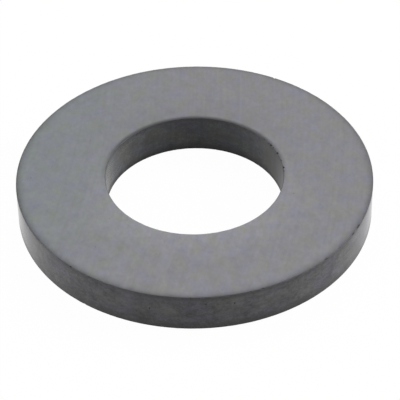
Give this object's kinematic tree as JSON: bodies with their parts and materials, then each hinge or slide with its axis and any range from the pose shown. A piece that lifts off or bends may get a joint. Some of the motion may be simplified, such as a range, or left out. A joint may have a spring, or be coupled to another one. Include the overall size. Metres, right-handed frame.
{
  "type": "ferrite ring magnet",
  "caption": "Flat ring of sintered hard ferrite with ground pole faces, straight pressed walls, tumbled edges and a round through bore, magnetised through its thickness.",
  "frame": {"origin": "centre of the lower pole face, on the axis of the bore", "axes": "+Z along the axis of the bore, through the thickness, which is also the direction of magnetisation"},
  "size_m": [0.06, 0.06, 0.007],
  "materials": {
    "sintered_ferrite": "satin grey on the ground pole faces, matt charcoal on the walls"
  },
  "bodies": {
    "root": {"ring_magnet": "sintered_ferrite"}
  },
  "joints": []
}
